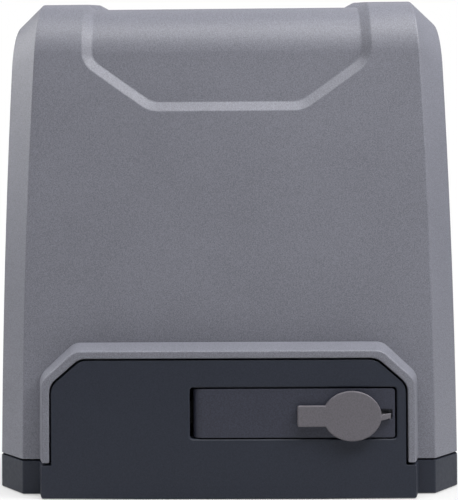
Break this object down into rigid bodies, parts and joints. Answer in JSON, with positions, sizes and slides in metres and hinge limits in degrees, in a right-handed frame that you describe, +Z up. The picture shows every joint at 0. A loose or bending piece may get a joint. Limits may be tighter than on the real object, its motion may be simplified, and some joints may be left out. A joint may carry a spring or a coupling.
{
  "type": "sliding gate opener",
  "caption": "Rack-and-pinion sliding gate opener: grey lift-off cover on a dark base with a manual release lever, lock and rubber key-hole cap; drive pinion behind.",
  "frame": {"origin": "centre of the base's flat underside, midway between the side faces and between the tray's front and rear faces", "axes": "+Z up, -Y the front with the release lever, +Y the rear with the drive pinion, +X to the right seen from the front"},
  "size_m": [0.29, 0.236, 0.312],
  "materials": {
    "grey_cover": "fine spark-eroded grain, satin",
    "dark_base": "fine grain, satin",
    "dark_lever": "fine grain, satin",
    "grey_rubber": "soft matte",
    "black_rubber": "matte",
    "cast_aluminium": "die cast, blasted",
    "steel": "machined and zinc plated",
    "bronze": "machined bronze",
    "lock_brass": "turned",
    "laminations": "stacked sheet steel",
    "copper_winding": "enamelled wire under tape",
    "black_plastic": "moulded",
    "white_plastic": "moulded",
    "circuit_board": "solder mask",
    "green_plastic": "moulded"
  },
  "bodies": {
    "base": {"base_housing": "dark_base", "board_tray": "black_plastic", "button_switch": "black_plastic", "cable_grommet": "black_rubber", "capacitor_clamp": "steel", "control_board": "circuit_board", "cover_screw_left": "steel", "cover_screw_right": "steel", "front_bearing": "steel", "gearbox_cover": "cast_aluminium", "gearbox_housing": "cast_aluminium", "gearbox_screw_1": "steel", "gearbox_screw_2": "steel", "gearbox_screw_3": "steel", "gearbox_screw_4": "steel", "lever_hinge_pin": "steel", "limit_switch_box": "black_plastic", "motor_cap": "cast_aluminium", "motor_housing": "cast_aluminium", "motor_top_bearing": "steel", "output_seal": "black_rubber", "rear_bearing": "steel", "relay_1": "white_plastic", "relay_2": "white_plastic", "run_capacitor": "white_plastic", "stator_core": "laminations", "terminal_block_left": "green_plastic", "terminal_block_right": "green_plastic", "tie_bolt_1": "steel", "tie_bolt_2": "steel", "tie_bolt_3": "steel", "tie_bolt_4": "steel", "transformer_coil": "copper_winding", "transformer_core": "laminations", "worm_lower_bearing": "steel", "worm_upper_bearing": "steel"},
    "cover": {"top_cover": "grey_cover"},
    "lever": {"release_lever": "dark_lever", "lock_bezel": "steel", "cap_anchor": "grey_rubber"},
    "lock": {"lock_barrel": "lock_brass", "lock_cam": "steel"},
    "cap": {"key_cap": "grey_rubber"},
    "pushrod": {"release_pushrod": "steel"},
    "output": {"output_shaft": "steel", "worm_wheel": "bronze", "drive_pinion": "steel", "pinion_washer": "steel", "pinion_bolt": "steel"},
    "clutch": {"clutch_ring": "steel"},
    "rotor": {"worm_shaft": "steel", "rotor_core": "laminations"},
    "limit": {"limit_shaft": "steel", "limit_spring": "steel"},
    "button": {"learn_button": "grey_rubber"}
  },
  "joints": [
    {"name": "cover_lift", "type": "slide", "parent": "base", "child": "cover", "axis": [0, 0, 1], "range_m": [0, 0.3]},
    {"name": "lever_swing", "type": "hinge", "parent": "base", "child": "lever", "pos_m": [-0.0152, -0.091, 0.0513], "axis": [0, 0, -1], "range_deg": [0, 90]},
    {"name": "lock_turn", "type": "hinge", "parent": "lever", "child": "lock", "pos_m": [0.0745, -0.09, 0.0498], "axis": [0, 1, 0], "range_deg": [0, 90]},
    {"name": "cap_swing", "type": "hinge", "parent": "lever", "child": "cap", "pos_m": [0.0964, -0.0982, 0.0506], "axis": [0, 0, 1], "range_deg": [0, 110]},
    {"name": "pushrod_slide", "type": "slide", "parent": "base", "child": "pushrod", "axis": [0, 1, 0], "range_m": [0, 0.0081]},
    {"name": "output_turn", "type": "hinge", "parent": "base", "child": "output", "pos_m": [-0.0152, 0, 0.0513], "axis": [0, 1, 0], "continuous": true},
    {"name": "clutch_slide", "type": "slide", "parent": "output", "child": "clutch", "axis": [0, 1, 0], "range_m": [0, 0.0081]},
    {"name": "motor_spin", "type": "hinge", "parent": "base", "child": "rotor", "pos_m": [0.0308, 0, 0.1], "axis": [0, 0, 1], "continuous": true},
    {"name": "limit_swing", "type": "hinge", "parent": "base", "child": "limit", "pos_m": [-0.045, 0.103, 0.108], "axis": [0, 1, 0], "range_deg": [-35, 35], "stiffness_Nm_per_rad": 0.5},
    {"name": "button_press", "type": "slide", "parent": "base", "child": "button", "axis": [0, 1, 0], "range_m": [0, 0.001], "stiffness_N_per_m": 400}
  ],
  "couplings": [
    {"joint": "pushrod_slide", "follows": "lever_swing", "m_per_rad": 0.005093},
    {"joint": "clutch_slide", "follows": "lever_swing", "m_per_rad": 0.005093},
    {"joint": "output_turn", "follows": "motor_spin", "ratio": 0.035714}
  ]
}
